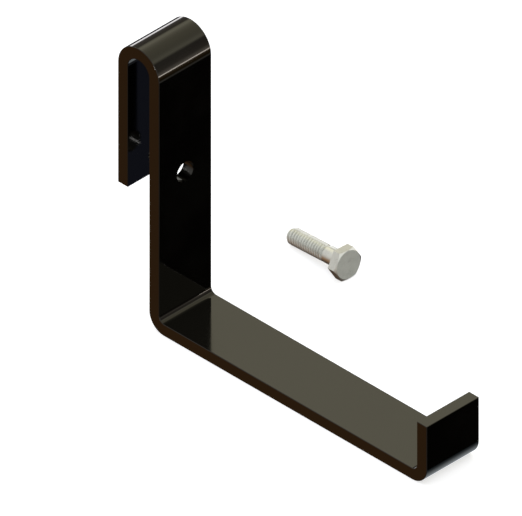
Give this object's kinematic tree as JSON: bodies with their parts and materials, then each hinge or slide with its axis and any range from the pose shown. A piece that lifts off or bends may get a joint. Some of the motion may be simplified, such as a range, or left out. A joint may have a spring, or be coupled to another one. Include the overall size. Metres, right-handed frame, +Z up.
{
  "type": "l-shaped cable bracket",
  "caption": "Flat bar bent into an L, with a hook on its leg for a rack stringer, a lip on its arm that keeps cables in, and a loose hex clamp bolt.",
  "frame": {"origin": "middle of the arm's flat underside, half way along the arm and half way across the bar", "axes": "+X along the arm towards the lip, +Y across the bar towards the side where the bolt lies, +Z up the leg towards the hook"},
  "size_m": [0.1496, 0.0754, 0.1143],
  "materials": {
    "black_coat": "gloss black coat on steel bar",
    "zinc_plate": "satin zinc plate on steel"
  },
  "bodies": {
    "root": {"bracket": "black_coat", "clamp_bolt": "zinc_plate"}
  },
  "joints": []
}
